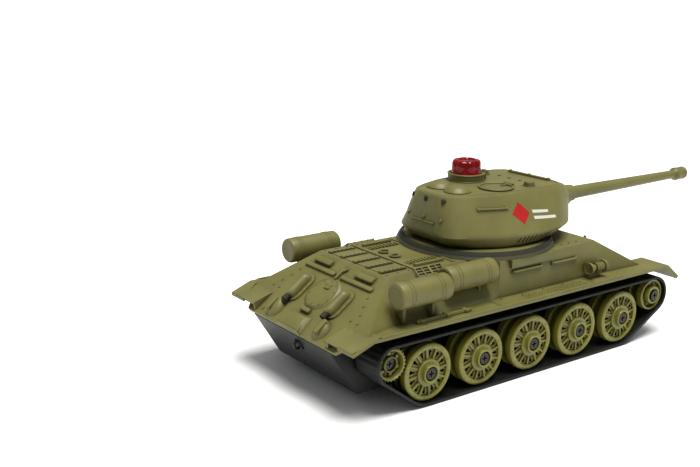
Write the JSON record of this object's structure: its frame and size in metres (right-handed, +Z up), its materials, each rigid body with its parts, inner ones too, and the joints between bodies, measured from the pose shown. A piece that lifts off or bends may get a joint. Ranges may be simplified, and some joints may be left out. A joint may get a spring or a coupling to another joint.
{
  "type": "radio control tank",
  "caption": "Radio control toy tank with tracked hull, rounded cast turret, red signal dome and long elevating gun.",
  "frame": {"origin": "on the ground, in the middle of the overall length (hull with its gun) and of the width", "axes": "+X forward along the gun, +Y to the tank's left, +Z up"},
  "size_m": [0.2618, 0.0938, 0.088],
  "materials": {
    "olive_plastic": "matt olive green moulded plastic",
    "wheel_plastic": "slightly glossy yellowish olive plastic",
    "black_plastic": "dark grey-brown matt plastic",
    "track_rubber": "black soft rubber",
    "dark_steel": "blackened steel screws",
    "bright_steel": "bright steel",
    "white_nylon": "white nylon",
    "red_clear": "translucent red plastic",
    "green_board": "green circuit board",
    "battery_wrap": "blue shrink wrap over cells",
    "emitter_clear": "clear infrared emitter"
  },
  "bodies": {
    "root": {"upper_hull": "olive_plastic", "lower_hull": "black_plastic", "battery_cover": "black_plastic", "battery_pack": "battery_wrap", "circuit_board": "green_board", "speaker": "black_plastic", "charging_socket": "black_plastic", "switch_housing": "black_plastic", "track_left": "track_rubber", "track_right": "track_rubber", "wheel_screws": "dark_steel", "drive_motor_left": "bright_steel", "drive_motor_right": "bright_steel", "gearbox_left": "white_nylon", "gearbox_right": "white_nylon", "traverse_motor": "bright_steel", "traverse_mount": "white_nylon", "drum_rear_right": "olive_plastic", "drum_rear_left": "olive_plastic", "drum_front_right": "olive_plastic", "exhausts": "olive_plastic", "tow_hooks": "black_plastic", "side_horn": "olive_plastic", "fender_saw": "olive_plastic", "hull_handrails": "olive_plastic", "bow_gun": "olive_plastic", "case_screws": "dark_steel"},
    "switch_slider": {"switch_slider": "black_plastic"},
    "turret": {"turret_shell": "olive_plastic", "turret_base": "olive_plastic", "turret_ring_gear": "white_nylon", "base_screws": "dark_steel", "cupola_ring": "olive_plastic", "signal_dome": "red_clear", "receiver_board": "green_board", "loader_hatch": "olive_plastic"},
    "gun": {"gun_mantlet": "olive_plastic", "gun_barrel": "olive_plastic", "infrared_emitter": "emitter_clear"},
    "traverse_pinion": {"traverse_pinion": "white_nylon"},
    "sprocket_left": {"sprocket_left": "wheel_plastic", "sprocket_screw_left": "dark_steel", "final_drive_left": "bright_steel"},
    "motor_pinion_left": {"motor_pinion_left": "white_nylon"},
    "idler_left": {"idler_left": "wheel_plastic"},
    "road_wheel_left_1": {"road_wheel_left_1": "wheel_plastic"},
    "road_wheel_left_2": {"road_wheel_left_2": "wheel_plastic"},
    "road_wheel_left_3": {"road_wheel_left_3": "wheel_plastic"},
    "road_wheel_left_4": {"road_wheel_left_4": "wheel_plastic"},
    "road_wheel_left_5": {"road_wheel_left_5": "wheel_plastic"},
    "sprocket_right": {"sprocket_right": "wheel_plastic", "sprocket_screw_right": "dark_steel", "final_drive_right": "bright_steel"},
    "motor_pinion_right": {"motor_pinion_right": "white_nylon"},
    "idler_right": {"idler_right": "wheel_plastic"},
    "road_wheel_right_1": {"road_wheel_right_1": "wheel_plastic"},
    "road_wheel_right_2": {"road_wheel_right_2": "wheel_plastic"},
    "road_wheel_right_3": {"road_wheel_right_3": "wheel_plastic"},
    "road_wheel_right_4": {"road_wheel_right_4": "wheel_plastic"},
    "road_wheel_right_5": {"road_wheel_right_5": "wheel_plastic"}
  },
  "joints": [
    {"name": "turret_traverse", "type": "hinge", "parent": "root", "child": "turret", "pos_m": [-0.02475, 0, 0.0555], "axis": [0, 0, 1], "range_deg": [-160, 160]},
    {"name": "traverse_pinion_spin", "type": "hinge", "parent": "root", "child": "traverse_pinion", "pos_m": [-0.057, 0, 0.048], "axis": [0, 0, 1], "range_deg": [-823, 823]},
    {"name": "gun_elevation", "type": "hinge", "parent": "turret", "child": "gun", "pos_m": [0.01625, 0, 0.066], "axis": [0, -1, 0], "range_deg": [-5, 15]},
    {"name": "power_switch", "type": "slide", "parent": "root", "child": "switch_slider", "axis": [1, 0, 0], "range_m": [0, 0.002]},
    {"name": "sprocket_spin_left", "type": "hinge", "parent": "root", "child": "sprocket_left", "pos_m": [-0.10845, 0.04, 0.022], "axis": [0, 1, 0], "continuous": true},
    {"name": "pinion_spin_left", "type": "hinge", "parent": "root", "child": "motor_pinion_left", "pos_m": [-0.09645, 0.022, 0.022], "axis": [0, 1, 0], "continuous": true},
    {"name": "idler_spin_left", "type": "hinge", "parent": "root", "child": "idler_left", "pos_m": [0.05355, 0.04, 0.0216], "axis": [0, 1, 0], "continuous": true},
    {"name": "wheel_spin_left_1", "type": "hinge", "parent": "root", "child": "road_wheel_left_1", "pos_m": [-0.08925, 0.04, 0.01445], "axis": [0, 1, 0], "continuous": true},
    {"name": "wheel_spin_left_2", "type": "hinge", "parent": "root", "child": "road_wheel_left_2", "pos_m": [-0.05925, 0.04, 0.01445], "axis": [0, 1, 0], "continuous": true},
    {"name": "wheel_spin_left_3", "type": "hinge", "parent": "root", "child": "road_wheel_left_3", "pos_m": [-0.02925, 0.04, 0.01445], "axis": [0, 1, 0], "continuous": true},
    {"name": "wheel_spin_left_4", "type": "hinge", "parent": "root", "child": "road_wheel_left_4", "pos_m": [0.00075, 0.04, 0.01445], "axis": [0, 1, 0], "continuous": true},
    {"name": "wheel_spin_left_5", "type": "hinge", "parent": "root", "child": "road_wheel_left_5", "pos_m": [0.03075, 0.04, 0.01445], "axis": [0, 1, 0], "continuous": true},
    {"name": "sprocket_spin_right", "type": "hinge", "parent": "root", "child": "sprocket_right", "pos_m": [-0.10845, -0.04, 0.022], "axis": [0, 1, 0], "continuous": true},
    {"name": "pinion_spin_right", "type": "hinge", "parent": "root", "child": "motor_pinion_right", "pos_m": [-0.09645, -0.022, 0.022], "axis": [0, 1, 0], "continuous": true},
    {"name": "idler_spin_right", "type": "hinge", "parent": "root", "child": "idler_right", "pos_m": [0.05355, -0.04, 0.0216], "axis": [0, 1, 0], "continuous": true},
    {"name": "wheel_spin_right_1", "type": "hinge", "parent": "root", "child": "road_wheel_right_1", "pos_m": [-0.08925, -0.04, 0.01445], "axis": [0, 1, 0], "continuous": true},
    {"name": "wheel_spin_right_2", "type": "hinge", "parent": "root", "child": "road_wheel_right_2", "pos_m": [-0.05925, -0.04, 0.01445], "axis": [0, 1, 0], "continuous": true},
    {"name": "wheel_spin_right_3", "type": "hinge", "parent": "root", "child": "road_wheel_right_3", "pos_m": [-0.02925, -0.04, 0.01445], "axis": [0, 1, 0], "continuous": true},
    {"name": "wheel_spin_right_4", "type": "hinge", "parent": "root", "child": "road_wheel_right_4", "pos_m": [0.00075, -0.04, 0.01445], "axis": [0, 1, 0], "continuous": true},
    {"name": "wheel_spin_right_5", "type": "hinge", "parent": "root", "child": "road_wheel_right_5", "pos_m": [0.03075, -0.04, 0.01445], "axis": [0, 1, 0], "continuous": true}
  ],
  "couplings": [
    {"joint": "traverse_pinion_spin", "follows": "turret_traverse", "ratio": -5.1429},
    {"joint": "pinion_spin_left", "follows": "sprocket_spin_left", "ratio": -3},
    {"joint": "idler_spin_left", "follows": "sprocket_spin_left", "ratio": 0.94286},
    {"joint": "wheel_spin_left_1", "follows": "sprocket_spin_left", "ratio": 0.6},
    {"joint": "wheel_spin_left_2", "follows": "sprocket_spin_left", "ratio": 0.6},
    {"joint": "wheel_spin_left_3", "follows": "sprocket_spin_left", "ratio": 0.6},
    {"joint": "wheel_spin_left_4", "follows": "sprocket_spin_left", "ratio": 0.6},
    {"joint": "wheel_spin_left_5", "follows": "sprocket_spin_left", "ratio": 0.6},
    {"joint": "pinion_spin_right", "follows": "sprocket_spin_right", "ratio": -3},
    {"joint": "idler_spin_right", "follows": "sprocket_spin_right", "ratio": 0.94286},
    {"joint": "wheel_spin_right_1", "follows": "sprocket_spin_right", "ratio": 0.6},
    {"joint": "wheel_spin_right_2", "follows": "sprocket_spin_right", "ratio": 0.6},
    {"joint": "wheel_spin_right_3", "follows": "sprocket_spin_right", "ratio": 0.6},
    {"joint": "wheel_spin_right_4", "follows": "sprocket_spin_right", "ratio": 0.6},
    {"joint": "wheel_spin_right_5", "follows": "sprocket_spin_right", "ratio": 0.6}
  ]
}
